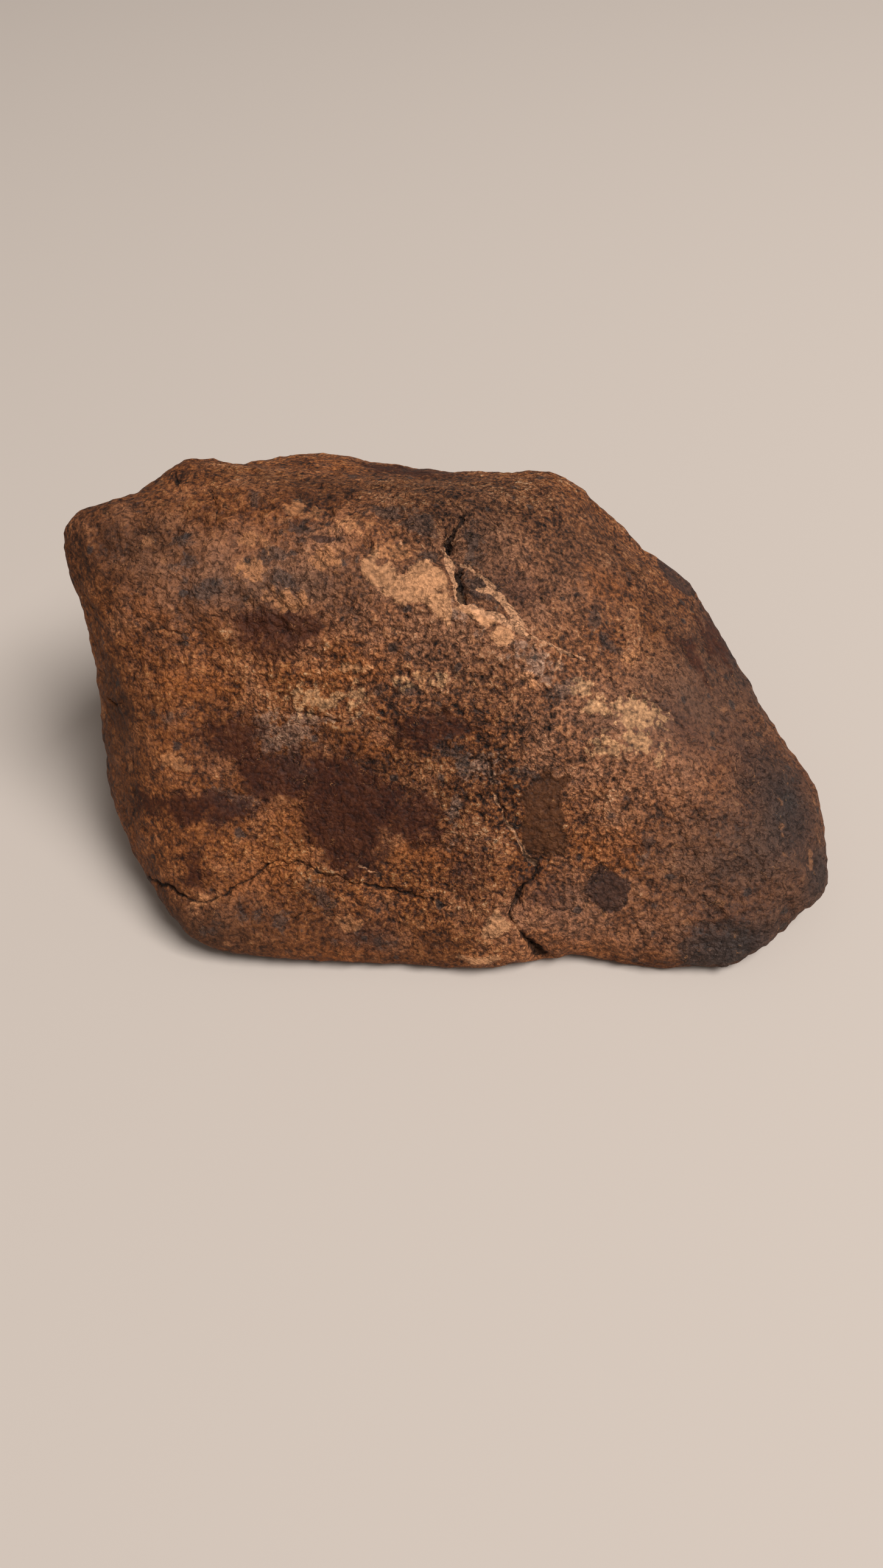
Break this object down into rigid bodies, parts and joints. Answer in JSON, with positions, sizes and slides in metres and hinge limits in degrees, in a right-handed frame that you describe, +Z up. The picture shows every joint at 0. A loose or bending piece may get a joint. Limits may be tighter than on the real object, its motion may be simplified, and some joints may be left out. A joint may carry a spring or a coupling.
{
  "type": "chondrite meteorite",
  "caption": "Angular weathered brown stone with a broad domed front, a blunt sloping crest and fine cracks; lies on a flat spot underneath.",
  "frame": {"origin": "centre of the bounding box's underside, on the plane of the flat spot", "axes": "+X along the stone's length, towards its low pointed end; +Y from the broad front towards the back; +Z up"},
  "size_m": [0.1234, 0.0822, 0.0558],
  "materials": {
    "stone": "weathered brown crust, low sheen on worn patches"
  },
  "bodies": {
    "root": {"meteorite": "stone"}
  },
  "joints": []
}
